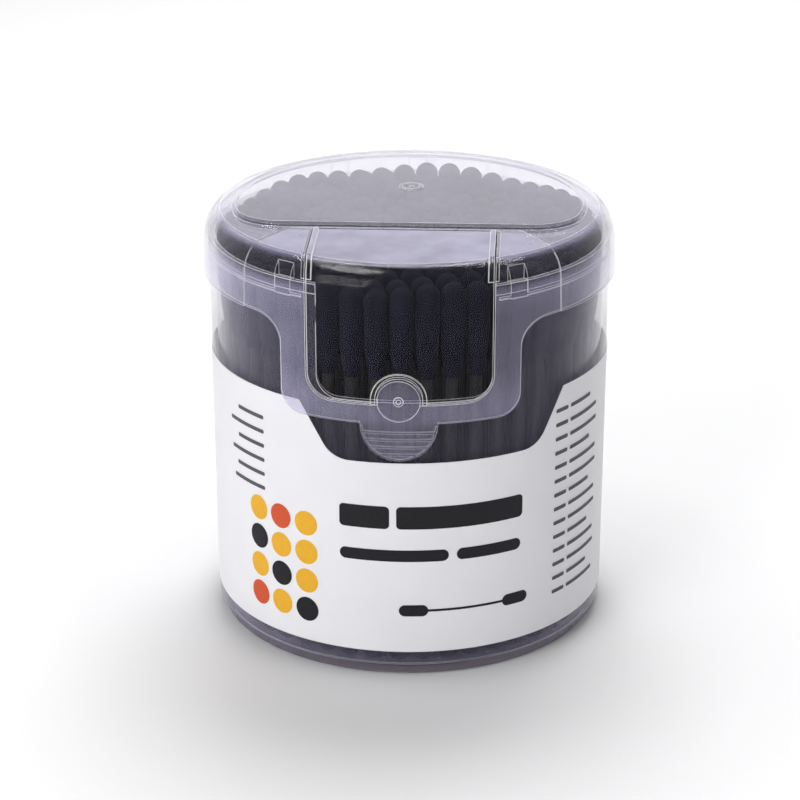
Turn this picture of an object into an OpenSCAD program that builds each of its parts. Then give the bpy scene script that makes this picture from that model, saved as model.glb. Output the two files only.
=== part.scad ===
// Round flip-top tub packed with double-ended cotton swabs, in millimetres.
// +Z is up and -Y is the front. The origin is the centre of the foot, on the table.
// A clear lid caps a clear tub. The lid's front hangs down as a bib, and a flap on a
// living hinge opens a window in it, over a notch in the tub's wall.

/* [Tub] */
// Outer radius of the tub wall just under the lid
tub_r = 38.88; // [36:0.01:42]
// Height of the tub to the top of its lip
tub_h = 77.9; // [74:0.1:84]
// How much the outer radius shrinks towards the foot, per millimetre of height
tub_draft = 0.003; // [0:0.001:0.008]
// Thickness of the tub wall
tub_wall = 1.2; // [1:0.05:1.4]
// Thickness of the floor
floor_t = 1.4; // [1:0.1:2]
// Height of the hollow under the floor
foot_recess = 0.8; // [0.5:0.1:1.2]
// Inset of the foot from the wall above it
foot_inset = 0.65; // [0.3:0.05:1]
// Rounding of the foot's outer edge
foot_round = 1.5; // [1:0.1:1.8]
// Width of the ring the tub stands on
foot_ring_w = 2.4; // [1.5:0.1:4]
// Height of the foot up to its step
foot_h = 2.4; // [2.2:0.1:3]
// Height of the lip at the tub's mouth
lip_h = 2.0; // [1.5:0.1:2.5]
// How far the lip stands inside the wall's outer radius
lip_inset = 0.23; // [0.15:0.01:0.4]
// How far the neck under the lip stands inside the wall's outer radius
neck_inset = 0.55; // [0.45:0.01:0.65]
// Height from the start of the neck to the top of the lip
neck_h = 5.9; // [5:0.1:6.5]

/* [Notch in the tub] */
// Width of the notch in the tub's front wall
notch_w = 32.6; // [24:0.1:36]
// Depth of the notch below the top of the lip
notch_drop = 21.4; // [16:0.1:24]
// Rounding of the notch's lower corners
notch_round = 4.0; // [2:0.1:6]
// Turn of the tub under the lid, in degrees
tub_turn = 1.6; // [-4:0.1:4]

/* [Lid] */
// Radial gap between the tub's wall and the lid's skirt
lid_gap = 0.32; // [0.25:0.01:0.45]
// Thickness of the lid's wall
lid_wall = 0.8; // [0.7:0.05:1]
// Overlap of the skirt below the top of the tub's lip
skirt_drop = 7.3; // [6.5:0.1:8]
// Height of the skirt, from its lower edge to the shoulder
skirt_h = 6.6; // [6:0.1:7]
// How much the skirt's radius shrinks towards the shoulder
skirt_draft = 0.25; // [0.1:0.01:0.3]
// Height of the rounded shoulder
shoulder_h = 5.5; // [4.8:0.1:6]
// Width of the rounded shoulder
shoulder_w = 3.2; // [2.6:0.1:3.8]
// Height of the raised plateau on the lid's top
plateau_h = 0.9; // [0.5:0.1:1.2]
// Radius of the plateau's upper edge
plateau_r = 33.6; // [30:0.1:34]
// Slope width of the plateau's edge
plateau_slope = 1.0; // [0.6:0.1:1.2]
// Rounding where the plateau's arc meets its straight front edge
plateau_corner = 9; // [6:0.5:12]
// Distance from the hinge back to the plateau's straight front edge
plateau_setback = 1.4; // [1.2:0.1:3]
// Half-angle of the thinner front panel, in degrees
panel_angle = 47.3; // [42:0.1:55]
// Depth by which the front panel is set back
panel_depth = 0.2; // [0.15:0.05:0.3]
// Half-width of the front panel along the hinge line
panel_hinge_x = 21.9; // [20:0.1:24]

/* [Lid seat and snap] */
// Height of the snap bead inside the skirt
bead_h = 0.8; // [0.5:0.1:1]
// Gap between the snap bead and the lip as the lid slides off
bead_gap = 0.17; // [0.12:0.01:0.2]
// Gap in height between the bead and the lip's lower edge
bead_drop = 0.1; // [0.05:0.05:0.3]
// Width of the lugs that sit on the tub's lip
lug_w = 3.6; // [2.5:0.1:5]
// Reach of the lugs over the lip, from the lid's wall
lug_reach = 1.4; // [1:0.1:1.5]
// Gap between the lugs and the lip
lug_gap = 0.1; // [0.05:0.05:0.2]
// Turn of the front lugs from the lid's front, in degrees
lug_front = 33.8; // [32:0.1:38]
// Turn of the rear side lugs from the lid's front, in degrees
lug_rear = 155; // [140:1:165]
// Diameter of the moulding gate's ring on the plateau
gate_d = 4.7; // [3:0.1:6]
// Distance of the gate behind the lid's centre
gate_back = 7.4; // [0:0.1:12]
// Height of the gate's ring above the plateau
gate_up = 0.25; // [0.1:0.05:0.4]
// Width of the gate's ring
gate_ring_w = 0.6; // [0.4:0.1:0.8]
// Depth of the plateau's dimple inside the ring
gate_sink = 0.1; // [0.05:0.05:0.2]
// Diameter of the gate's stub inside the ring
gate_pin_d = 1.0; // [0.6:0.1:1.2]
// Height of the gate's stub above the plateau
gate_pin_up = 0.2; // [0.1:0.05:0.4]

/* [Bib and thumb tab] */
// Width of the bib
bib_w = 44.3; // [42:0.1:48]
// Drop of the bib below the skirt
bib_drop = 18.0; // [15:0.1:20]
// Rounding of the bib's lower corners
bib_round = 4.2; // [3:0.1:6]
// Rounding between the skirt and the bib
bib_fillet = 5.0; // [3:0.1:6]
// Height of the band left under the window
bib_band = 3.9; // [3:0.1:5]
// Radius of the half-disc thumb tab under the bib
tab_r = 7.2; // [5:0.1:8]
// Width and height of the raised lines on the thumb tab
tab_line = 0.45; // [0.3:0.05:0.6]
// Number of raised grip lines on the thumb tab
tab_lines = 4; // [2:1:5]
// Radius of the round catch that holds the flap
catch_r = 4.0; // [3:0.1:5]
// How far the catch stands out from the bib
catch_out = 0.6; // [0.4:0.1:0.8]
// Height of the catch's centre above the flap's lower edge
catch_up = 0.8; // [0:0.1:2]
// Outer radius of the ring on the catch
catch_ring_r = 0.9; // [0.6:0.1:1.2]
// How far the ring stands out from the catch
catch_ring_out = 0.25; // [0.1:0.05:0.4]

/* [Flap] */
// Width of the flap
flap_w = 34.1; // [28:0.1:35]
// Distance of the hinge in front of the lid's centre
hinge_fwd = 17.0; // [15:0.1:20]
// Gap round the flap
flap_gap = 0.25; // [0.2:0.01:0.35]
// Rounding of the flap's lower corners
flap_round = 4.5; // [3:0.1:6]
// Width of the stiffening ribs beside the flap's edges
rib_w = 1.0; // [0.6:0.1:1.2]
// Width of the lid's ribs beside the window
frame_rib_w = 0.6; // [0.4:0.1:1]
// How far the ribs stand out from the front panel
rib_out = 0.4; // [0.2:0.05:0.5]
// Length of the ribs down from the lid's top
rib_drop = 3.7; // [3:0.1:5]
// Gap between the catch and the arch in the flap
arch_gap = 0.35; // [0.3:0.05:0.5]
// Width of the raised rim round the arch
arch_rim_w = 0.8; // [0.5:0.1:1.2]

/* [Label] */
// Thickness of the paper label
label_t = 0.1; // [0.06:0.01:0.12]
// Height of the label's lower edge above the table
label_z = 5.45; // [4:0.05:8]
// Height of the label
label_h = 49.5; // [46:0.1:52]
// Turn of the cut-out's centre from the front, in degrees
cut_turn = 11; // [6:0.5:16]
// Width of the cut-out along the label's upper edge
cut_w = 49.8; // [44:0.1:54]
// Depth of the cut-out
cut_depth = 10.5; // [8:0.1:12]
// Slope of the cut-out's sides from the vertical, in degrees
cut_slope = 27.5; // [15:0.5:35]
// Rounding of the cut-out's lower corners
cut_round = 5; // [3:0.1:7]

/* [Swabs] */
// Number of swabs in the tub
swab_count = 200; // [150:1:200]
// Depth of the lowest swab tips below the top of the tub's lip
swab_sink = 1.0; // [0.6:0.05:6]
// Greatest extra length of a fluffy head
swab_extra = 1.2; // [0:0.1:1.6]
// How much longer the swabs are at the tub's rear than at its front
swab_rise = 2.5; // [0:0.1:3]
// Diameter of a cotton head
head_d = 4.5; // [4.2:0.05:4.6]
// Length of a cotton head
head_len = 17; // [14:0.5:20]
// Length over which a head swells from the stick
head_collar = 10; // [4:0.5:12]
// Thickness of the cotton where a head starts
head_step = 0.3; // [0.2:0.05:0.4]
// Diameter of the paper stick
stick_d = 2.1; // [1.9:0.1:2.6]
// Length of stick inside each head
stick_in = 12; // [8:0.5:13]
// Radial gap between a stick and the cotton round it
stick_gap = 0.03; // [0.02:0.01:0.05]
// Gap between neighbouring heads
head_gap = 0.12; // [0.08:0.01:0.2]
// Gap between the outer heads and the tub
side_gap = 0.15; // [0.1:0.01:0.3]
// Gap between the lower heads and the floor
stand_gap = 0.05; // [0.02:0.01:0.2]
// Turn of each ring of swabs from the ring outside it, in degrees
ring_turn = 17; // [0:0.5:45]
// Lean of the swabs along their ring, in degrees
swab_lean = 0.7; // [-1.5:0.1:1.5]

/* [Hidden] */
$fn = 96;

clear_plastic = [0.78, 0.79, 0.86, 0.45];
paper_white = [0.93, 0.92, 0.94];
cotton_black = [0.13, 0.14, 0.2];
stick_brown = [0.23, 0.21, 0.21];

// A cut reaches this far past the faces that it opens
past = 1;
// A shallow cut reaches this far into the space that it joins
overlap = 0.1;
// Turn that spreads the swabs' lengths evenly, in degrees
golden_turn = 137.5;

// Heights that several pieces share
floor_z = foot_recess + floor_t;
neck_z = tub_h - neck_h;
lip_z = tub_h - lip_h;
notch_z = tub_h - notch_drop;
skirt_z = tub_h - skirt_drop;
shoulder_z = skirt_z + skirt_h;
top_z = shoulder_z + shoulder_h;
plateau_z = top_z + plateau_h;
bib_z = skirt_z - bib_drop;
tab_z = bib_z - tab_r;
flap_z = bib_z + bib_band;
catch_z = flap_z + catch_up;

// Radii that several pieces share
foot_r = wall_r(foot_h) - foot_inset;
lip_r = tub_r - lip_inset;
neck_r = tub_r - neck_inset;
inner_r = tub_r - tub_wall;
inner_floor_r = wall_r(floor_z) - tub_wall;
lid_r = tub_r + lid_gap + lid_wall;
shoulder_r = lid_r - skirt_draft;
shoulder_arc = (shoulder_w * shoulder_w + shoulder_h * shoulder_h) / (2 * shoulder_w);
shoulder_c = shoulder_r - shoulder_arc;
bead_r = lip_r + bead_gap;
plateau_front = hinge_fwd - plateau_setback;

// Swab layout: concentric rings, filled from the wall inwards
swab_len = tub_h - swab_sink - floor_z - stand_gap;
pitch = head_d + head_gap;
ring_r0 = inner_floor_r - side_gap - head_d / 2;
sectors = 8;
sector_angle = 360 / sectors;
rings = floor(ring_r0 / pitch) + 1;

// Outer radius of the tub wall at height z
function wall_r(z) = tub_r - tub_draft * (neck_z - z);

function ring_r(k) = ring_r0 - k * pitch;

// How many swabs fit round ring k
function ring_room(k) = ring_r(k) < pitch / 2 ? 1 : floor(180 / asin(pitch / 2 / ring_r(k)));

// Swabs in the rings outside ring k
function placed_before(k) = k == 0 ? 0 : placed_before(k - 1) + ring_room(k - 1);

function ring_count(k) = max(0, min(ring_room(k), swab_count - placed_before(k)));

// Angle of swab j in ring k, from 0 to 360
function swab_angle(k, j) = (360 * j / ring_count(k) + ring_turn * k) % 360;

function swab_sector(k, j) = floor(swab_angle(k, j) / sector_angle) + 1;

// Extra length of the stick of swab j in ring k, from none at the front to swab_rise at the rear
function stick_growth(k, j) = swab_rise * (0.5 - 0.5 * cos(swab_angle(k, j)) * ring_r(k) / ring_r0);

// Extra length of a head of swab j in ring k, spread evenly between none and swab_extra
function head_growth(k, j) = swab_extra * (0.5 + 0.5 * sin(golden_turn * (3 * j + 11 * k)));

// A block in front of the centre, cut to a front outline drawn in X and Z
module front_block(near) {
    rotate([90, 0, 0]) translate([0, 0, near]) linear_extrude(2 * lid_r - near) children();
}

// An upright opening with rounded lower corners, from z0 up to z1
module opening_outline(w, z0, z1, r) {
    translate([-w / 2, z0 + r]) square([w, z1 - z0 - r]);
    translate([-w / 2 + r, z0]) square([w - 2 * r, z1 - z0]);
    for (side = [-1, 1]) translate([side * (w / 2 - r), z0 + r]) circle(r);
}

module tub_outside() {
    rotate_extrude() {
        polygon([[0, foot_recess / 2], [foot_r, foot_round], [foot_r, foot_h],
            [wall_r(foot_h + foot_inset), foot_h + foot_inset], [wall_r(neck_z), neck_z],
            [neck_r, neck_z + neck_inset], [neck_r, lip_z],
            [lip_r, lip_z + (neck_inset - lip_inset) / 2], [lip_r, tub_h], [0, tub_h]]);
        square([foot_r - foot_round, foot_h]);
        translate([foot_r - foot_round, foot_round]) circle(foot_round);
    }
}

module tub() {
    color(clear_plastic) difference() {
        tub_outside();
        rotate_extrude() polygon([[0, floor_z], [inner_floor_r, floor_z],
            [inner_r, neck_z], [inner_r, tub_h + past], [0, tub_h + past]]);
        translate([0, 0, -past]) cylinder(r = foot_r - foot_round - foot_ring_w, h = foot_recess + past);
        rotate([0, 0, tub_turn]) front_block(lip_r / 2)
            opening_outline(notch_w, notch_z, tub_h + past, notch_round);
    }
}

// The label's cut-out: a trapezium, wider at the top, with its lower corners rounded
module cut_outline() {
    top = label_z + label_h;
    low = top - cut_depth;
    low_half = cut_w / 2 - cut_depth * tan(cut_slope);
    back_off = cut_round / tan((90 + cut_slope) / 2);
    centre_x = low_half - back_off;
    side_x = low_half + back_off * sin(cut_slope);
    side_z = low + back_off * cos(cut_slope);
    over_x = cut_w / 2 + past * tan(cut_slope);
    polygon([[-centre_x, low], [centre_x, low], [centre_x, low + cut_round], [side_x, side_z],
        [over_x, top + past], [-over_x, top + past], [-side_x, side_z],
        [-centre_x, low + cut_round]]);
    for (side = [-1, 1]) translate([side * centre_x, low + cut_round]) circle(cut_round);
}

module label() {
    low_r = wall_r(label_z);
    top_r = wall_r(label_z + label_h);
    color(paper_white) difference() {
        rotate_extrude() polygon([[low_r, label_z], [low_r + label_t, label_z],
            [top_r + label_t, label_z + label_h], [top_r, label_z + label_h]]);
        rotate([0, 0, cut_turn]) front_block(tub_r / 2) cut_outline();
    }
}

// The lid as a solid, with all its faces moved in by an inset
module lid_block(inset) {
    rotate_extrude() {
        polygon([[0, tab_z - past], [lid_r - inset, tab_z - past], [lid_r - inset, skirt_z],
            [shoulder_r - inset, shoulder_z], [0, shoulder_z]]);
        translate([0, shoulder_z]) square([shoulder_c + past / 2, shoulder_h - inset]);
        intersection() {
            translate([shoulder_c, shoulder_z]) circle(shoulder_arc - inset);
            translate([shoulder_c, shoulder_z - past])
                square([shoulder_arc, shoulder_h - inset + past]);
        }
    }
}

// Outline of the plateau from above: a disc with a straight front edge, moved in by an inset
module plateau_outline(inset) {
    r = plateau_r - inset;
    front = plateau_front - inset;
    corner = plateau_corner - inset;
    cy = corner - front;
    cx = sqrt((r - corner) * (r - corner) - cy * cy);
    meet = atan2(cy, cx);
    polygon(concat(
        [for (i = [0:40]) let (a = meet + (180 - 2 * meet) * i / 40) r * [cos(a), sin(a)]],
        [for (i = [1:10]) let (a = 180 - meet + (90 + meet) * i / 10)
            [-cx + corner * cos(a), cy + corner * sin(a)]],
        [for (i = [0:9]) let (a = 270 + (90 + meet) * i / 10)
            [cx + corner * cos(a), cy + corner * sin(a)]]));
}

// The plateau with its sloping edge, from a height z0 up to a height z1
module plateau_block(inset, z0, z1) {
    skin = 0.01;
    hull() {
        translate([0, 0, z0]) linear_extrude(skin) plateau_outline(inset - plateau_slope);
        translate([0, 0, z1 - skin]) linear_extrude(skin) plateau_outline(inset);
    }
}

module plateau_shell_cut() {
    plateau_block(lid_wall / 2, top_z - lid_wall - overlap, plateau_z - lid_wall);
}

// The thinner front panel, seen from above
module panel_block() {
    rim_r = shoulder_r - shoulder_w - panel_depth;
    far_r = 2 * lid_r;
    side = [sin(panel_angle), -cos(panel_angle)];
    mirrored = [-side[0], side[1]];
    translate([0, 0, tab_z - past]) linear_extrude(plateau_z) polygon([
        [-panel_hinge_x, -hinge_fwd + flap_gap], rim_r * mirrored, far_r * mirrored,
        far_r * side, rim_r * side, [panel_hinge_x, -hinge_fwd + flap_gap]]);
}

// The bib and its thumb tab, seen from the front
module bib_outline() {
    opening_outline(bib_w, bib_z, skirt_z + past, bib_round);
    intersection() {
        translate([0, bib_z]) circle(tab_r);
        translate([-tab_r, tab_z - past]) square([2 * tab_r, tab_r + 2 * past]);
    }
    for (side = [-1, 1]) difference() {
        translate([side * (bib_w + bib_fillet) / 2, skirt_z + (past - bib_fillet) / 2])
            square([bib_fillet, bib_fillet + past], center = true);
        translate([side * (bib_w / 2 + bib_fillet), skirt_z - bib_fillet]) circle(bib_fillet);
    }
}

// What hangs below the skirt is cut away, apart from the bib
module below_skirt() {
    difference() {
        translate([0, 0, tab_z - 2 * past]) cylinder(r = lid_r + past, h = skirt_z - tab_z + 2 * past);
        front_block(0) bib_outline();
    }
}

// Stiffening ribs along both sides of the flap, between two distances from the middle
module rib_block(x0, x1) {
    far_y = -hinge_fwd - lid_r - flap_gap / 2;
    for (x = [-x1, x0]) translate([x, far_y, top_z - rib_drop])
        cube([x1 - x0, lid_r, rib_drop + past]);
}

module rib_skin() {
    difference() {
        lid_block(panel_depth - rib_out);
        lid_block(lid_wall / 2);
    }
}

// The hinge line and the flap's gap are shared by the window and the flap
module window_block(extra) {
    front_block(hinge_fwd - extra)
        opening_outline(flap_w + 2 * extra, flap_z - extra, plateau_z + past, flap_round + extra);
}

module snap_bead() {
    z1 = lip_z - bead_drop;
    root_r = lid_r - lid_wall / 2;
    difference() {
        rotate_extrude() polygon([[root_r, z1 - bead_h], [bead_r, z1 - bead_h * 3 / 4],
            [bead_r, z1 - bead_h / 4], [root_r, z1]]);
        translate([-flap_w / 2 - rib_w, -lid_r - past, z1 - bead_h - past])
            cube([flap_w + 2 * rib_w, lid_r + past, bead_h + 2 * past]);
    }
}

// One lug: a stop over the tub's lip, with a thin pad down to the bead
module lug(turn) {
    z0 = lip_z - bead_drop - bead_h;
    stop_r = shoulder_r - lid_wall - lug_reach;
    rotate([0, 0, turn]) {
        translate([-lug_w / 2, -lid_r, tub_h + lug_gap])
            cube([lug_w, lid_r - stop_r, top_z - lid_wall / 2 - tub_h - lug_gap]);
        intersection() {
            translate([-lug_w / 2, -lid_r, z0]) cube([lug_w, lid_r / 2, tub_h + 2 * lug_gap - z0]);
            difference() {
                cylinder(r = lid_r, h = top_z);
                cylinder(r = bead_r, h = 3 * top_z, center = true);
            }
        }
    }
}

module lugs() {
    intersection() {
        lid_block(lid_wall / 2);
        for (turn = [-lug_front, lug_front, -lug_rear, lug_rear, 180]) lug(turn);
    }
}

module gate_ring() {
    root = lid_wall / 2;
    translate([0, gate_back, plateau_z - root]) {
        difference() {
            cylinder(d = gate_d, h = root + gate_up);
            translate([0, 0, root - gate_sink]) cylinder(d = gate_d - 2 * gate_ring_w, h = past);
        }
        cylinder(d = gate_pin_d, h = root + gate_pin_up);
    }
}

// The catch: a round boss on the bib, with a small ring on its face
module flap_catch() {
    face = lid_r - panel_depth + catch_out;
    back = lid_r - lid_wall;
    intersection() {
        translate([0, 0, catch_z]) rotate([90, 0, 0]) {
            cylinder(r = catch_r, h = face);
            difference() {
                cylinder(r = catch_ring_r, h = face + catch_ring_out);
                translate([0, 0, face]) cylinder(r = catch_ring_r / 2, h = past);
            }
        }
        difference() {
            translate([-lid_r, -lid_r - past, 0]) cube([2 * lid_r, lid_r, top_z]);
            translate([0, 0, -past]) cylinder(r = back, h = top_z + 2 * past);
        }
    }
}

// Raised border and grip lines on the thumb tab
module tab_relief() {
    face = lid_r - panel_depth + tab_line / 2;
    intersection() {
        difference() {
            cylinder(r = face, h = skirt_z);
            translate([0, 0, -past]) cylinder(r = lid_r - lid_wall / 2, h = skirt_z + 2 * past);
        }
        front_block(tub_r / 2) difference() {
            translate([0, bib_z]) circle(tab_r);
            translate([-lid_r, bib_z - tab_line]) square([2 * lid_r, lid_r]);
            difference() {
                translate([0, bib_z]) circle(tab_r - tab_line);
                for (i = [1:tab_lines]) translate([-tab_r, bib_z - i * tab_r / (tab_lines + 1) - tab_line])
                    square([2 * tab_r, tab_line]);
            }
        }
    }
}

module lid_shell() {
    difference() {
        union() {
            difference() {
                lid_block(0);
                panel_block();
            }
            lid_block(panel_depth);
            intersection() {
                rib_skin();
                rib_block(flap_w / 2, flap_w / 2 + flap_gap + frame_rib_w);
            }
            plateau_block(0, top_z - lid_wall / 2, plateau_z);
        }
        lid_block(lid_wall);
        plateau_shell_cut();
        below_skirt();
        window_block(flap_gap);
    }
}

module lid() {
    color(clear_plastic) {
        lid_shell();
        snap_bead();
        lugs();
        gate_ring();
        flap_catch();
        tab_relief();
    }
}

module arch_outline(r) {
    translate([0, catch_z]) circle(r);
    translate([-r, flap_z - past]) square([2 * r, catch_z - flap_z + past]);
}

module flap() {
    arch_r = catch_r + arch_gap;
    color(clear_plastic) difference() {
        union() {
            intersection() {
                difference() {
                    lid_block(panel_depth);
                    lid_block(lid_wall);
                }
                window_block(0);
            }
            intersection() {
                rib_skin();
                rib_block(flap_w / 2 - rib_w, flap_w / 2);
                window_block(0);
            }
            intersection() {
                rib_skin();
                front_block(tub_r / 2) arch_outline(arch_r + arch_rim_w);
                window_block(0);
            }
        }
        front_block(tub_r / 2) arch_outline(arch_r);
    }
}

// Upright half-section of a head, from its collar at 0 to its tip at len
module head_section(len) {
    r = head_d / 2;
    collar_r = stick_d / 2 + stick_gap;
    start_r = collar_r + head_step;
    steps = 3;
    difference() {
        intersection() {
            union() {
                polygon(concat([[0, 0]], [for (i = [0:steps]) let (t = i / steps)
                    [start_r + (r - start_r) * sin(90 * t), head_collar * t]],
                    [[r, len - r], [0, len - r]]));
                translate([0, len - r]) circle(r);
            }
            square([r + past, len + past]);
        }
        translate([-past, -past]) square([collar_r + past, stick_in + stick_gap + past]);
    }
}

module head(len) {
    rotate_extrude($fn = 24) head_section(len);
}

// Places a child at every swab of one sector: "low" heads, "high" heads or sticks
module each_swab(sector, part) {
    mid = swab_len / 2;
    for (k = [0:rings - 1]) for (j = [0:1:ring_count(k) - 1]) if (swab_sector(k, j) == sector)
        rotate([0, 0, swab_angle(k, j)]) translate([0, -ring_r(k), floor_z + stand_gap + mid])
            rotate([0, swab_lean * (k % 2 == 0 ? 1 : -1), 0]) {
                if (part == "low") translate([0, 0, head_len - mid]) mirror([0, 0, 1]) head(head_len);
                if (part == "high") translate([0, 0, mid - head_len + stick_growth(k, j)])
                    head(head_len + head_growth(k, j));
                if (part == "stick") translate([0, 0, head_len - stick_in - mid]) cylinder(d = stick_d,
                    h = swab_len - 2 * (head_len - stick_in) + stick_growth(k, j), $fn = 24);
            }
}

module heads_top(sector) {
    color(cotton_black) each_swab(sector, "high");
}

module heads_base(sector) {
    color(cotton_black) each_swab(sector, "low");
}

module sticks(sector) {
    color(stick_brown) each_swab(sector, "stick");
}

tub();
label();
lid();
flap();
heads_top(1);  // heads_top_1
heads_top(2);  // heads_top_2
heads_top(3);  // heads_top_3
heads_top(4);  // heads_top_4
heads_top(5);  // heads_top_5
heads_top(6);  // heads_top_6
heads_top(7);  // heads_top_7
heads_top(8);  // heads_top_8
sticks(1);  // sticks_1
sticks(2);  // sticks_2
sticks(3);  // sticks_3
sticks(4);  // sticks_4
sticks(5);  // sticks_5
sticks(6);  // sticks_6
sticks(7);  // sticks_7
sticks(8);  // sticks_8
heads_base(1);  // heads_base_1
heads_base(2);  // heads_base_2
heads_base(3);  // heads_base_3
heads_base(4);  // heads_base_4
heads_base(5);  // heads_base_5
heads_base(6);  // heads_base_6
heads_base(7);  // heads_base_7
heads_base(8);  // heads_base_8
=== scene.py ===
"""Looks of a round flip-top tub packed with black cotton swabs.

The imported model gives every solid. This script dresses them in clear moulded plastic, coated
paper, cotton fluff and rolled paper, prints plain shapes on the label, and lights the tub on a
white table. Lengths are in metres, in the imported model's own frame: +Z is up and -Y is the
front. Turns round the tub are in degrees from its front towards +X.
"""

from __future__ import annotations

import logging
import math
from dataclasses import dataclass, field
from enum import Enum

import bmesh
import bpy
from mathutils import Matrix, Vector

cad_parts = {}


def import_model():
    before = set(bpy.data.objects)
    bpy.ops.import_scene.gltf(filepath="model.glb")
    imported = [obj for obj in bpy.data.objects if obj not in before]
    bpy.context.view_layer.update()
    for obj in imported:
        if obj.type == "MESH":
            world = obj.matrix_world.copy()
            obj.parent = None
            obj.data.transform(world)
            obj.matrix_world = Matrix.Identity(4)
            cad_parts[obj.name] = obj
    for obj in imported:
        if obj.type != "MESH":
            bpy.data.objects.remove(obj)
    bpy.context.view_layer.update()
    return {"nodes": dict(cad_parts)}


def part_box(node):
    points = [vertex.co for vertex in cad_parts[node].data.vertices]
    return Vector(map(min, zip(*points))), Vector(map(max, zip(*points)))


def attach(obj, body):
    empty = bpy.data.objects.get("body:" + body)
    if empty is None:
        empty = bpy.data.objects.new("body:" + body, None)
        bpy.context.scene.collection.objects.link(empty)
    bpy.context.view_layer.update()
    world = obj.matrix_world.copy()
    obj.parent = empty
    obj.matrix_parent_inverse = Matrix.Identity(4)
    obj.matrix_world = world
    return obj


LOG = logging.getLogger("swab_tub")
MM = 0.001
SECTORS = 8
WHITE = (1.0, 1.0, 1.0)
NOISE_SPAN = (0.3, 0.7)
Colour = tuple[float, float, float]
Steps = tuple[tuple[float, float], ...]
Span = tuple[float, float]
Stretch = tuple[float, float, float]
Place = tuple[float, float, float]


class Body(Enum):
    """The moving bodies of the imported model."""

    TUB = "tub_body"
    LID = "lid_body"
    FLAP = "flap_body"


class ShaderTree:
    """A material's or a world's node tree, with short calls that add and join its nodes."""

    def __init__(self, owner: bpy.types.Material | bpy.types.World) -> None:
        """Start an empty tree.

        Args:
            owner: The new material or world.
        """
        self.owner = owner
        owner.use_nodes = True
        self.tree = owner.node_tree
        self.tree.nodes.clear()

    @classmethod
    def material(cls, name: str) -> ShaderTree:
        """Start the tree of a new material."""
        return cls(bpy.data.materials.new(name))

    def add(self, kind: str, **values: object) -> bpy.types.Node:
        """Add one node.

        Args:
            kind: The node's type, without its "ShaderNode" start.
            **values: Properties of the node, or its inputs with spaces as underscores.
                A socket as a value is joined to that input.

        Returns:
            The new node.
        """
        node = self.tree.nodes.new(f"ShaderNode{kind}")
        for key, value in values.items():
            if key in node.bl_rna.properties:
                setattr(node, key, value)
        for key, value in values.items():
            if key not in node.bl_rna.properties:
                self.feed(node.inputs[key.replace("_", " ")], value)
        return node

    def feed(self, target: bpy.types.NodeSocket, value: object) -> None:
        """Join a socket to an input, or set the input to a value.

        Args:
            target: The input.
            value: A socket, or a number or colour to set.
        """
        if isinstance(value, bpy.types.NodeSocket):
            self.tree.links.new(value, target)
        elif isinstance(value, tuple) and len(value) == 3 and target.type == "RGBA":
            target.default_value = (*value, 1.0)
        else:
            target.default_value = value

    def maths(self, operation: str, *terms: object) -> bpy.types.NodeSocket:
        """Join numbers or sockets by one arithmetic operation.

        Args:
            operation: The operation's name.
            *terms: Its numbers or sockets, in order.

        Returns:
            The result.
        """
        node = self.add("Math", operation=operation)
        for socket, term in zip(node.inputs, terms):
            self.feed(socket, term)
        return node.outputs[0]

    def ramp(self, value: object, low: float, high: float, to_low: float,
             to_high: float) -> bpy.types.NodeSocket:
        """Carry a value from one range to another, held at both ends.

        Args:
            value: The number or socket to carry.
            low: Start of the range that it comes from.
            high: End of that range.
            to_low: What the start becomes.
            to_high: What the end becomes.

        Returns:
            The carried value.
        """
        node = self.add("MapRange", From_Min=low, From_Max=high, To_Min=to_low, To_Max=to_high)
        self.feed(node.inputs["Value"], value)
        return node.outputs["Result"]

    def noise(self, grain: float, stretch: Stretch = (1.0, 1.0, 1.0),
              detail: float = 3.0) -> bpy.types.NodeSocket:
        """Noise on the piece's own coordinates.

        Args:
            grain: Size of the noise's grain, in metres.
            stretch: How finely the grain repeats along each axis.
            detail: How many finer layers it has.

        Returns:
            The noise's value, about 0 to 1.
        """
        place = self.add("Mapping", Scale=stretch)
        self.feed(place.inputs["Vector"], self.add("TexCoord").outputs["Object"])
        node = self.add("TexNoise", Scale=1 / grain, Detail=detail, Vector=place.outputs["Vector"])
        return node.outputs["Fac"]

    def mixed_colour(self, share: object, first: object, second: object) -> bpy.types.NodeSocket:
        """Mix two colours.

        Args:
            share: The second colour's share, from 0 to 1.
            first: A colour, or a socket that gives one.
            second: The other colour.

        Returns:
            The mixed colour.
        """
        node = self.add("Mix", data_type="RGBA")
        self.feed(node.inputs["Factor"], share)
        colours = [s for s in node.inputs if s.type == "RGBA"]
        self.feed(colours[0], first)
        self.feed(colours[1], second)
        return next(s for s in node.outputs if s.type == "RGBA")

    def bump(self, height: object, depth: float, strength: float = 1.0) -> bpy.types.NodeSocket:
        """Bend the normal by a pattern's height.

        Args:
            height: The pattern, from 0 to 1.
            depth: What a height of 1 stands for, in metres.
            strength: How much of the bend is used.

        Returns:
            The bent normal.
        """
        node = self.add("Bump", Strength=strength, Distance=depth)
        self.feed(node.inputs["Height"], height)
        return node.outputs["Normal"]

    def finish(self, surface: bpy.types.NodeSocket) -> bpy.types.Material:
        """Join the surface to the output and return the material."""
        self.feed(self.add("OutputMaterial").inputs["Surface"], surface)
        return self.owner


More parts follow.
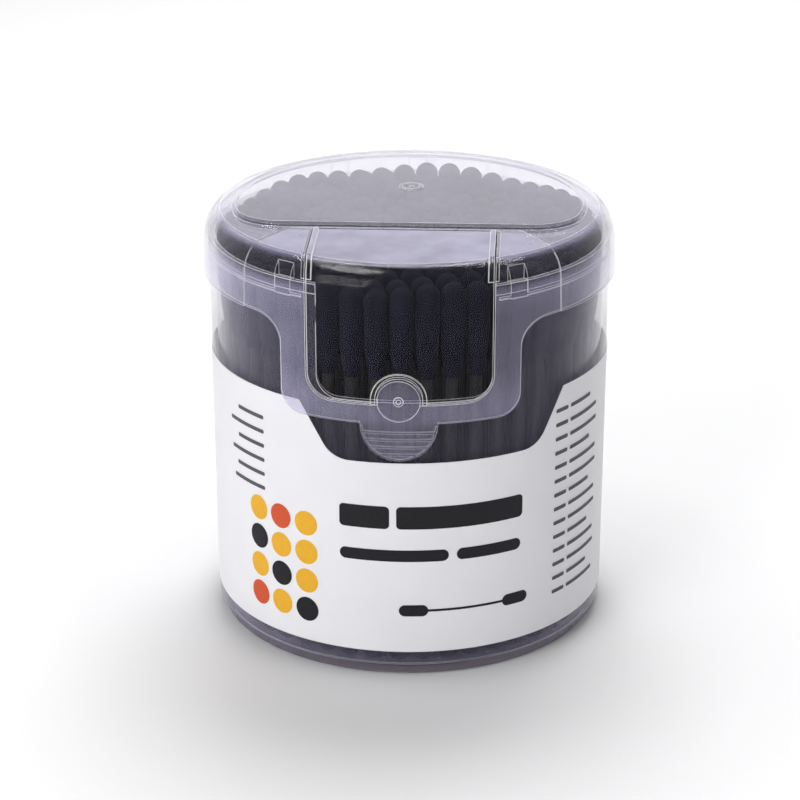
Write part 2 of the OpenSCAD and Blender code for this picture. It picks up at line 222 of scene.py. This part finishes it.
@dataclass(frozen=True)
class ClearPlastic:
    """Clear injection-moulded plastic, with a faint haze and a white painted highlight along every corner.

    Haze, the painted highlight on corners and depth are steps of a height above the table and a
    share. A moulding is cloudier where it is thick; a haze step can also be a painted reflection band,
    and the darkening low on the tub is painted shade under it, partly its thick base's own tint. Each
    runs evenly from step to step.
    """

    name: str
    haze: Steps = ((0.0, 0.02),)
    # Share of the white painted highlight on corners, at each height.
    painted_edge_highlight: Steps = ((0.0, 0.92),)
    # Share of the dark through-colour at each height: painted shade low on the tub, partly its thick base.
    depth: Steps = ((0.0, 0.0),)
    haze_colour: Colour = (0.71, 0.68, 0.95)
    haze_roughness: float = 0.6
    haze_grain: float = 9.0 * MM
    haze_drift: Span = (0.8, 1.2)
    side_haze: float = 4.0
    tint: Colour = (0.985, 0.985, 0.99)
    glance_tint: Colour = (0.94, 0.93, 0.935)
    glance_power: float = 4.0
    thick_and_painted_shade_tint: Colour = (0.36, 0.33, 0.345)
    painted_highlight_colour: Colour = WHITE
    painted_highlight_width: float = 0.18 * MM
    painted_highlight_turn: Span = (0.994, 0.978)
    painted_highlight_samples: int = 6
    gloss_tint: Colour = (0.95, 0.94, 0.95)
    gloss_roughness: float = 0.06
    face_mirror: float = 0.004
    mirror_power: float = 5.0
    flow_grain: float = 14.0 * MM
    flow_stretch: Stretch = (1.0, 1.0, 0.4)
    flow_detail: float = 2.0
    flow_depth: float = 0.01 * MM

    def build(self) -> bpy.types.Material:
        """Make the material and return it."""
        tree = ShaderTree.material(self.name)
        flow = tree.bump(tree.noise(self.flow_grain, self.flow_stretch, self.flow_detail), self.flow_depth)
        facing = tree.add("LayerWeight", Blend=0.5).outputs["Facing"]
        glance = tree.maths("POWER", facing, self.glance_power)
        thin = tree.mixed_colour(glance, self.tint, self.glance_tint)
        # Painted shade: the clear wall darkens where the depth steps say, low on the tub, partly for its
        # thick base.
        through = tree.mixed_colour(self.by_height(tree, self.depth), thin, self.thick_and_painted_shade_tint)
        clear = tree.add("BsdfTransparent", Color=through)
        milky = tree.add("BsdfPrincipled", Base_Color=self.haze_colour, Roughness=self.haze_roughness)
        tree.feed(milky.inputs["Specular IOR Level"], 0.0)
        drift = tree.ramp(tree.noise(self.haze_grain), *NOISE_SPAN, *self.haze_drift)
        level = tree.maths("MULTIPLY", self.by_height(tree, self.haze), drift)
        cloud = tree.maths("MULTIPLY", level, tree.maths("MULTIPLY_ADD", facing, self.side_haze, 1.0))
        body = self.mixed(tree, cloud, clear, milky)
        gloss = tree.add("BsdfGlossy", Color=self.gloss_tint, Roughness=self.gloss_roughness, Normal=flow)
        shiny = self.mixed(tree, self.mirror_share(tree, facing), body, gloss)
        # Painted highlight: a white matt shader laid on every corner, standing in for light caught there.
        painted_highlight = tree.add("BsdfDiffuse", Color=self.painted_highlight_colour)
        painted_edge_highlight = tree.maths("MULTIPLY", self.painted_highlight_mask(tree), self.by_height(tree, self.painted_edge_highlight))
        return tree.finish(self.mixed(tree, painted_edge_highlight, shiny, painted_highlight).outputs[0])

    def mixed(self, tree: ShaderTree, share: bpy.types.NodeSocket, first: bpy.types.Node,
              second: bpy.types.Node) -> bpy.types.Node:
        """Mix two shaders.

        Args:
            tree: The material's tree.
            share: The second shader's share, from 0 to 1.
            first: A shader.
            second: The other shader.

        Returns:
            The mix.
        """
        both = tree.add("MixShader")
        tree.feed(both.inputs[0], share)
        tree.feed(both.inputs[1], first.outputs[0])
        tree.feed(both.inputs[2], second.outputs[0])
        return both

    def by_height(self, tree: ShaderTree, steps: Steps) -> float | bpy.types.NodeSocket:
        """Read steps at the height of the point that is shaded.

        Args:
            tree: The material's tree.
            steps: Heights above the table, each with its share.

        Returns:
            The share at the point's height, or the only share there is.
        """
        split = tree.add("SeparateXYZ")
        tree.feed(split.inputs[0], tree.add("TexCoord").outputs["Object"])
        level = steps[0][1]
        for (low, _), (high, share) in zip(steps, steps[1:]):
            step = tree.ramp(split.outputs["Z"], low, high, 0.0, 1.0)
            blend = tree.add("Mix", data_type="FLOAT")
            tree.feed(blend.inputs[0], step)
            tree.feed(blend.inputs[2], level)
            tree.feed(blend.inputs[3], share)
            level = blend.outputs[0]
        return level

    def mirror_share(self, tree: ShaderTree, facing: bpy.types.NodeSocket) -> bpy.types.NodeSocket:
        """Find how much the surface mirrors: little face on, and all at a glance.

        The share is the same from inside the wall, so that a thin wall stays clear.

        Args:
            tree: The material's tree.
            facing: 0 where the surface faces the view, and 1 where it is seen edge on.

        Returns:
            The share that is mirrored.
        """
        glance = tree.maths("POWER", facing, self.mirror_power)
        return tree.maths("MULTIPLY_ADD", glance, 1.0 - self.face_mirror, self.face_mirror)

    def painted_highlight_mask(self, tree: ShaderTree) -> bpy.types.NodeSocket:
        """Find where the surface turns a corner within the painted highlight's width.

        Args:
            tree: The material's tree.

        Returns:
            The painted highlight's share: 0 on plain faces and 1 at corners.
        """
        rounded = tree.add("Bevel", samples=self.painted_highlight_samples, Radius=self.painted_highlight_width)
        normal = tree.add("NewGeometry")
        match = tree.add("VectorMath", operation="DOT_PRODUCT")
        tree.feed(match.inputs[0], rounded.outputs[0])
        tree.feed(match.inputs[1], normal.outputs["Normal"])
        turned = tree.maths("ABSOLUTE", match.outputs["Value"])
        return tree.ramp(turned, *self.painted_highlight_turn, 0.0, 1.0)


@dataclass(frozen=True)
class CoatedPaper:
    """White label paper with a satin coat and a faint fibre."""

    name: str = "coated_paper"
    light: Colour = (0.90, 0.89, 0.92)
    dark: Colour = (0.86, 0.85, 0.885)
    cloud: float = 7.0 * MM
    fibre: float = 0.35 * MM
    fibre_stretch: Stretch = (1.0, 1.0, 0.5)
    fibre_depth: float = 0.006 * MM
    roughness: float = 0.42
    coat: float = 0.4

    def build(self) -> bpy.types.Material:
        """Make the material and return it."""
        tree = ShaderTree.material(self.name)
        colour = tree.mixed_colour(tree.noise(self.cloud), self.dark, self.light)
        normal = tree.bump(tree.noise(self.fibre, self.fibre_stretch), self.fibre_depth)
        paper = tree.add("BsdfPrincipled", Base_Color=colour, Roughness=self.roughness, Normal=normal)
        tree.feed(paper.inputs["Specular IOR Level"], self.coat)
        return tree.finish(paper.outputs[0])


@dataclass(frozen=True)
class Ink:
    """Flat printed ink, thinly uneven as offset print is."""

    name: str
    colour: Colour
    thinnest: float = 1.15
    bare: float = 0.004
    grain: float = 0.6 * MM
    roughness: float = 0.5
    shine: float = 0.15

    def build(self) -> bpy.types.Material:
        """Make the material and return it."""
        tree = ShaderTree.material(self.name)
        pale = tuple(c * self.thinnest + self.bare for c in self.colour)
        colour = tree.mixed_colour(tree.noise(self.grain), self.colour, pale)
        ink = tree.add("BsdfPrincipled", Base_Color=colour, Roughness=self.roughness)
        tree.feed(ink.inputs["Specular IOR Level"], self.shine)
        return tree.finish(ink.outputs[0])


@dataclass(frozen=True)
class CottonFluff:
    """Black cotton, wound and pressed, with a soft nap that lightens at a glance."""

    name: str = "black_cotton"
    deep: Colour = (0.006, 0.006, 0.012)
    worn: Colour = (0.009, 0.009, 0.018)
    wound: float = 1.8 * MM
    fibre: float = 0.9 * MM
    stretch: Stretch = (1.0, 1.0, 0.5)
    wound_share: float = 0.7
    nap_depth: float = 0.018 * MM
    roughness: float = 0.95
    shine: float = 0.04
    sheen: float = 0.03
    sheen_roughness: float = 0.55
    sheen_tint: Colour = (0.55, 0.58, 0.80)

    def build(self) -> bpy.types.Material:
        """Make the material and return it."""
        tree = ShaderTree.material(self.name)
        clump = tree.noise(self.wound, self.stretch, 2.0)
        nap = tree.noise(self.fibre, self.stretch, 1.0)
        colour = tree.mixed_colour(tree.ramp(clump, *NOISE_SPAN, 0.0, 1.0), self.deep, self.worn)
        finer = tree.maths("MULTIPLY", nap, 1.0 - self.wound_share)
        height = tree.maths("MULTIPLY_ADD", clump, self.wound_share, finer)
        normal = tree.bump(height, self.nap_depth)
        cotton = tree.add("BsdfPrincipled", Base_Color=colour, Roughness=self.roughness, Normal=normal)
        tree.feed(cotton.inputs["Specular IOR Level"], self.shine)
        tree.feed(cotton.inputs["Sheen Weight"], self.sheen)
        tree.feed(cotton.inputs["Sheen Roughness"], self.sheen_roughness)
        tree.feed(cotton.inputs["Sheen Tint"], self.sheen_tint)
        return tree.finish(cotton.outputs[0])


@dataclass(frozen=True)
class RolledPaper:
    """Dark paper rolled tight into a stick, with long faint grain."""

    name: str = "rolled_paper"
    dark: Colour = (0.007, 0.006, 0.007)
    light: Colour = (0.016, 0.013, 0.013)
    grain: float = 0.5 * MM
    stretch: Stretch = (1.0, 1.0, 0.08)
    grain_depth: float = 0.03 * MM
    roughness: float = 0.6
    shine: float = 0.2

    def build(self) -> bpy.types.Material:
        """Make the material and return it."""
        tree = ShaderTree.material(self.name)
        grain = tree.noise(self.grain, self.stretch)
        colour = tree.mixed_colour(tree.ramp(grain, *NOISE_SPAN, 0.0, 1.0), self.dark, self.light)
        normal = tree.bump(grain, self.grain_depth)
        paper = tree.add("BsdfPrincipled", Base_Color=colour, Roughness=self.roughness, Normal=normal)
        tree.feed(paper.inputs["Specular IOR Level"], self.shine)
        return tree.finish(paper.outputs[0])


@dataclass
class Swabs:
    """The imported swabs: cotton heads at both ends of paper sticks, in eight sectors."""

    cotton: CottonFluff = field(default_factory=CottonFluff)
    paper: RolledPaper = field(default_factory=RolledPaper)

    def dress(self, nodes: dict[str, bpy.types.Object]) -> None:
        """Give every sector its finishes.

        Args:
            nodes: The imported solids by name.
        """
        cotton = self.cotton.build()
        paper = self.paper.build()
        for sector in range(1, SECTORS + 1):
            for group, material in (("heads_top", cotton), ("heads_base", cotton), ("sticks", paper)):
                wear(nodes[f"{group}_{sector}"], material)
        LOG.info("swabs dressed in %d sectors", SECTORS)


@dataclass(frozen=True)
class Mark:
    """A rounded printed shape: its middle's turn, and its measures in millimetres."""

    turn: float
    height: float
    width: float
    tall: float
    corner: float


@dataclass(frozen=True)
class Rows:
    """A column of small bars that all start at one turn and run to one side, in millimetres."""

    edge: float
    toward: int
    top: float
    count: int
    shortest: float
    spread: float = 0.0
    swing: float = 0.0
    pitch: float = 2.9
    tall: float = 0.8
    corner: float = 0.3

    def marks(self, radius: float) -> list[Mark]:
        """List the column's bars.

        Args:
            radius: The label's radius, in millimetres.

        Returns:
            The bars, from the top down.
        """
        found = []
        for row in range(self.count):
            width = self.shortest + self.spread * math.sin(self.swing * row) ** 2
            turn = self.edge + self.toward * math.degrees(width / 2 / radius)
            found.append(Mark(turn, self.top - self.pitch * row, width, self.tall, self.corner))
        return found


@dataclass(frozen=True)
class Dots:
    """A block of round dots, in millimetres."""

    turn: float = -45.0
    top: float = 30.0
    pitch: float = 6.0
    across: float = 5.0
    columns: int = 3

    def mark(self, place: int, radius: float) -> Mark:
        """Give the dot at a place, counted along the rows.

        Args:
            place: The dot's number, from 0.
            radius: The label's radius, in millimetres.

        Returns:
            The dot.
        """
        row, column = divmod(place, self.columns)
        turn = self.turn + math.degrees(column * self.pitch / radius)
        return Mark(turn, self.top - row * self.pitch, self.across, self.across, self.across / 2)


class Pigment(Enum):
    """The label's inks, each with its colour."""

    BLACK = (0.012, 0.012, 0.015)
    GREY = (0.09, 0.09, 0.10)
    AMBER = (0.80, 0.42, 0.03)
    RED = (0.62, 0.09, 0.03)

    @property
    def title(self) -> str:
        """The ink's name in small letters."""
        return self.name.lower()


@dataclass
class LabelPrint:
    """Plain printed shapes on the paper label, each bent to the tub's round."""

    radius: float = 39.0
    taper: float = 0.003
    lift: float = 0.03 * MM
    strip: float = 0.9
    arc_points: int = 32
    middle_slack: float = 1e-6
    bars: tuple[Mark, ...] = (
        Mark(-9.8, 33.4, 9.6, 4.6, 0.9), Mark(17.6, 33.4, 25.0, 4.6, 0.9),
        Mark(-1.5, 25.6, 20.8, 2.4, 1.2), Mark(25.8, 25.6, 13.2, 2.4, 1.2))
    swab_sign: tuple[Mark, ...] = (
        Mark(19.0, 14.2, 16.0, 0.5, 0.25), Mark(4.0, 14.2, 5.6, 2.4, 1.2),
        Mark(34.0, 14.2, 5.6, 2.4, 1.2))
    small_rows: tuple[Rows, ...] = (
        Rows(54.5, 1, 50.2, 14, 7.5, 4.5, 2.1), Rows(48.0, 1, 50.2, 14, 3.6),
        Rows(-42.0, -1, 49.0, 6, 8.0, 3.0, 1.7))
    dots: Dots = Dots()
    dot_inks: tuple[Pigment, ...] = (
        Pigment.AMBER, Pigment.RED, Pigment.AMBER, Pigment.BLACK, Pigment.AMBER, Pigment.AMBER,
        Pigment.AMBER, Pigment.BLACK, Pigment.AMBER, Pigment.RED, Pigment.AMBER, Pigment.BLACK)

    def build(self) -> list[bpy.types.Object]:
        """Print the label.

        Returns:
            The printed pieces, one for each ink.
        """
        marks = {ink: [] for ink in Pigment}
        marks[Pigment.BLACK] += [*self.bars, *self.swab_sign]
        for rows in self.small_rows:
            marks[Pigment.GREY] += rows.marks(self.radius)
        for place, ink in enumerate(self.dot_inks):
            marks[ink].append(self.dots.mark(place, self.radius))
        return [self.ink_piece(ink, found) for ink, found in marks.items()]

    def ink_piece(self, ink: Pigment, marks: list[Mark]) -> bpy.types.Object:
        """Print all the marks of one ink as a piece that rides on the tub.

        Args:
            ink: The ink.
            marks: Its marks.

        Returns:
            The printed piece.
        """
        name = f"label_print_{ink.title}"
        mesh = bmesh.new()
        for mark in marks:
            self.stamp(mesh, mark)
        bmesh.ops.recalc_face_normals(mesh, faces=mesh.faces)
        if sum(f.normal.dot(f.calc_center_median() * Vector((1, 1, 0))) for f in mesh.faces) < 0:
            bmesh.ops.reverse_faces(mesh, faces=mesh.faces)
        piece = bpy.data.objects.new(name, bpy.data.meshes.new(name))
        mesh.to_mesh(piece.data)
        mesh.free()
        piece.data.materials.append(Ink(f"ink_{ink.title}", ink.value).build())
        bpy.context.scene.collection.objects.link(piece)
        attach(piece, Body.TUB.value)
        LOG.info("%s printed with %d marks", name, len(marks))
        return piece

    def stamp(self, mesh: bmesh.types.BMesh, mark: Mark) -> None:
        """Print one mark: a disc drawn out to the mark's size, cut in strips and bent round.

        Args:
            mesh: The ink's open mesh.
            mark: The mark.
        """
        made = bmesh.ops.create_circle(mesh, cap_ends=True, radius=mark.corner, segments=self.arc_points)
        for vertex in made["verts"]:
            vertex.co.x += self.side_of(vertex.co.x) * (mark.width / 2 - mark.corner)
            vertex.co.y += self.side_of(vertex.co.y) * (mark.tall / 2 - mark.corner)
        geometry = list({f for v in made["verts"] for f in v.link_faces})
        geometry += list({e for v in made["verts"] for e in v.link_edges}) + made["verts"]
        strips = max(1, math.ceil(mark.width / self.strip))
        for i in range(1, strips):
            at = Vector((mark.width * (i / strips - 0.5), 0, 0))
            geometry = bmesh.ops.bisect_plane(mesh, geom=geometry, plane_co=at, plane_no=(1, 0, 0))["geom"]
        for vertex in [g for g in geometry if isinstance(g, bmesh.types.BMVert)]:
            vertex.co = self.on_label(mark.turn, vertex.co.x * MM, (mark.height + vertex.co.y) * MM)

    def side_of(self, value: float) -> float:
        """Give the side of the middle that a value lies on: -1, or 1 from the middle up."""
        return -1.0 if value < -self.middle_slack else 1.0

    def on_label(self, turn: float, along: float, height: float) -> Vector:
        """Find a point on the ink's surface.

        Args:
            turn: The mark's turn round the tub, in degrees.
            along: Length along the paper from there, in metres.
            height: Height above the table, in metres.

        Returns:
            The point.
        """
        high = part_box("label")[1]
        radius = high.x - self.taper * (high.z - height) + self.lift
        angle = math.radians(turn) + along / radius
        return Vector((radius * math.sin(angle), -radius * math.cos(angle), height))


@dataclass
class Shells:
    """The clear mouldings and the paper wrapped round the tub."""

    tub: ClearPlastic = ClearPlastic(
        "tub_plastic",
        haze=((0.0, 0.025), (2.2 * MM, 0.03), (3.2 * MM, 0.036), (4.5 * MM, 0.02), (6.0 * MM, 0.013)),
        # Painted highlight on the tub's corners, dim at the foot and in a band just under its top.
        painted_edge_highlight=((0.0, 0.45), (3.4 * MM, 0.45), (5.0 * MM, 0.92), (70.5 * MM, 0.92),
               (71.0 * MM, 0.10), (73.4 * MM, 0.10), (74.2 * MM, 0.92)),
        # Painted shade: the tub's foot is darkened as if in shadow under it, partly for its thick base.
        depth=((0.0, 1.0), (2.2 * MM, 0.9), (3.0 * MM, 0.3), (6.0 * MM, 0.0)),
        side_haze=8.5)
    lid: ClearPlastic = ClearPlastic(
        "lid_plastic",
        # The band of extra haze just under the lid's top, from 81.4 to 82.7 mm, is a painted reflection.
        haze=((0.0, 0.045), (52.0 * MM, 0.06), (53.0 * MM, 0.092), (58.0 * MM, 0.088),
              (62.0 * MM, 0.05), (72.0 * MM, 0.05), (75.0 * MM, 0.07), (76.8 * MM, 0.07),
              (78.0 * MM, 0.006), (79.0 * MM, 0.006), (81.4 * MM, 0.012), (82.2 * MM, 0.09),
              (82.5 * MM, 0.10), (82.7 * MM, 0.033)),
        # Painted highlight on the lid's corners, dimmer on its lower part and in two bands near the
        # plateau.
        painted_edge_highlight=((0.0, 0.22), (52.0 * MM, 0.22), (54.0 * MM, 0.85), (66.0 * MM, 0.74), (81.5 * MM, 0.78),
               (81.6 * MM, 0.25), (82.4 * MM, 0.25), (82.6 * MM, 0.92), (82.72 * MM, 0.92),
               (82.78 * MM, 0.30), (83.3 * MM, 0.30), (83.6 * MM, 0.75)))
    flap: ClearPlastic = ClearPlastic(
        "flap_plastic", haze=((0.0, 0.002), (81.9 * MM, 0.002), (82.2 * MM, 0.16), (82.5 * MM, 0.12)))
    paper: CoatedPaper = field(default_factory=CoatedPaper)

    def dress(self, nodes: dict[str, bpy.types.Object]) -> None:
        """Give the tub, the lid with its flap and the label their finishes.

        Args:
            nodes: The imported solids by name.
        """
        wear(nodes["tub"], self.tub.build())
        wear(nodes["lid"], self.lid.build())
        wear(nodes["flap"], self.flap.build())
        wear(nodes["label"], self.paper.build())
        LOG.info("shells dressed")


@dataclass(frozen=True)
class Lamp:
    """A soft lamp: its place, its width and depth, and its power in watts.

    One for gloss only shows in glossy surfaces, as a lit panel does, and lights nothing else.
    """

    name: str
    place: Place
    width: float
    depth: float
    power: float
    gloss_only: bool = False

    def shine_at(self, aim: Place) -> None:
        """Light the tub from the lamp's place.

        Args:
            aim: The point that the lamp faces.
        """
        light = bpy.data.lights.new(self.name, "AREA")
        light.shape = "RECTANGLE"
        light.size = self.width
        light.size_y = self.depth
        light.energy = self.power
        lamp = bpy.data.objects.new(self.name, light)
        lamp.location = self.place
        lamp.rotation_euler = (Vector(aim) - Vector(self.place)).to_track_quat("-Z", "Y").to_euler()
        lamp.visible_diffuse = not self.gloss_only
        bpy.context.scene.collection.objects.link(lamp)


@dataclass
class Studio:
    """A white table, a soft light from the upper left and the camera at the photograph's view."""

    floor_half: float = 3.0
    floor_colour: Colour = (0.79, 0.79, 0.80)
    # Painted shadow on the floor: its emission runs from the first value near the middle point to the
    # second beyond the reach.
    painted_shadow_glow: Span = (0.06, 0.235)
    painted_shadow_reach: Span = (0.042, 0.098)
    painted_shadow_middle: Place = (0.0, -0.020, 0.0)
    lamps: tuple[Lamp, ...] = (
        Lamp("key", (-0.532, -0.759, 0.415), 0.5, 0.5, 4.6),
        Lamp("top", (0.05, 0.42, 0.80), 0.5, 0.5, 5.5),
        Lamp("fill", (0.80, -0.25, 0.50), 0.5, 0.5, 1.3),
        Lamp("streak", (-0.355, -0.295, 0.927), 0.40, 0.30, 12.0, gloss_only=True),
        Lamp("overhead", (0.0, 0.05, 0.95), 1.30, 0.30, 26.0, gloss_only=True))
    sky_level: float = 0.10
    sky_slope: float = 0.40
    sky_side: Place = (-0.70, -0.40, 0.59)
    clear_walls: int = 32
    aim: Place = (0.0, 0.0, 0.040)
    distance: float = 0.4883
    elevation: float = 21.93
    azimuth: float = 2.85
    sensor: float = 36.0
    lens: float = 110.04
    shift_x: float = -0.0118
    shift_y: float = 0.0093

    def build(self) -> None:
        """Make the floor, the world, the lamps and the camera."""
        self.floor()
        self.world()
        for lamp in self.lamps:
            lamp.shine_at(self.aim)
        self.camera()
        self.clear_depth()
        bpy.context.scene.view_settings.view_transform = "Standard"
        LOG.info("studio ready")

    def seen_rays(self, tree: ShaderTree) -> bpy.types.NodeSocket:
        """Tell the rays that see the studio from those that it lights.

        Args:
            tree: A material's or the world's tree.

        Returns:
            1 for camera, glossy and transmission rays, and 0 for the rest.
        """
        path = tree.add("LightPath")
        shown = tree.maths("MAXIMUM", path.outputs["Is Camera Ray"], path.outputs["Is Glossy Ray"])
        return tree.maths("MAXIMUM", shown, path.outputs["Is Transmission Ray"])

    def floor(self) -> None:
        """A wide white floor that keeps the tub's shadow, plus a painted shadow: it glows more further
        off.
        """
        mesh = bmesh.new()
        bmesh.ops.create_grid(mesh, x_segments=2, y_segments=2, size=self.floor_half)
        floor = bpy.data.objects.new("floor", bpy.data.meshes.new("floor"))
        mesh.to_mesh(floor.data)
        mesh.free()
        bpy.context.scene.collection.objects.link(floor)
        tree = ShaderTree.material("white_floor")
        matt = tree.add("BsdfDiffuse", Color=self.floor_colour)
        painted_shadow_emission = tree.add("Emission", Color=WHITE)
        away = tree.add("VectorMath", operation="DISTANCE")
        tree.feed(away.inputs[0], tree.add("TexCoord").outputs["Object"])
        away.inputs[1].default_value = self.painted_shadow_middle
        # Painted shadow: the floor's emission is weakest near the middle point in front of the tub and
        # rises further off.
        level = tree.ramp(away.outputs["Value"], *self.painted_shadow_reach, *self.painted_shadow_glow)
        tree.feed(painted_shadow_emission.inputs["Strength"], tree.maths("MULTIPLY", self.seen_rays(tree), level))
        both = tree.add("AddShader")
        tree.feed(both.inputs[0], matt.outputs[0])
        tree.feed(both.inputs[1], painted_shadow_emission.outputs[0])
        floor.data.materials.append(tree.finish(both.outputs[0]))

    def world(self) -> None:
        """White all round for what is seen, and a softer light from the upper left for the rest."""
        tree = ShaderTree(bpy.data.worlds.new("white_studio"))
        bpy.context.scene.world = tree.owner
        side = tree.add("VectorMath", operation="DOT_PRODUCT")
        tree.feed(side.inputs[0], tree.add("TexCoord").outputs["Generated"])
        side.inputs[1].default_value = self.sky_side
        slope = tree.maths("MULTIPLY_ADD", side.outputs["Value"], self.sky_slope, self.sky_level)
        lit = tree.maths("MAXIMUM", slope, 0.0)
        sky = tree.add("Mix", data_type="FLOAT")
        tree.feed(sky.inputs[0], self.seen_rays(tree))
        tree.feed(sky.inputs[2], lit)
        tree.feed(sky.inputs[3], 1.0)
        light = tree.add("Background", Color=WHITE)
        tree.feed(light.inputs["Strength"], sky.outputs[0])
        tree.feed(tree.add("OutputWorld").inputs["Surface"], light.outputs[0])

    def clear_depth(self) -> None:
        """Let a view pass through all the clear walls in line, with no sparkle from their glints."""
        bpy.context.scene.cycles.transparent_max_bounces = self.clear_walls
        bpy.context.scene.cycles.caustics_reflective = False

    def camera(self) -> None:
        """The camera that the photograph's curves give."""
        lens = bpy.data.cameras.new("view")
        lens.sensor_width = self.sensor
        lens.lens = self.lens
        lens.shift_x = self.shift_x
        lens.shift_y = self.shift_y
        up, turn = math.radians(self.elevation), math.radians(self.azimuth)
        back = Vector((math.sin(turn) * math.cos(up), -math.cos(turn) * math.cos(up), math.sin(up)))
        camera = bpy.data.objects.new("view", lens)
        camera.location = Vector(self.aim) + self.distance * back
        camera.rotation_euler = (-back).to_track_quat("-Z", "Y").to_euler()
        bpy.context.scene.collection.objects.link(camera)
        bpy.context.scene.camera = camera


def wear(piece: bpy.types.Object, material: bpy.types.Material) -> None:
    """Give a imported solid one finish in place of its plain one."""
    piece.data.materials.clear()
    piece.data.materials.append(material)


def main() -> None:
    """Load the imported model, dress it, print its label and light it."""
    logging.basicConfig(level=logging.INFO, format="%(name)s: %(message)s")
    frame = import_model()
    nodes = frame["nodes"]
    Shells().dress(nodes)
    Swabs().dress(nodes)
    printed = LabelPrint().build()
    LOG.info("%d printed pieces", len(printed))
    Studio().build()


if __name__ == "__main__":
    main()
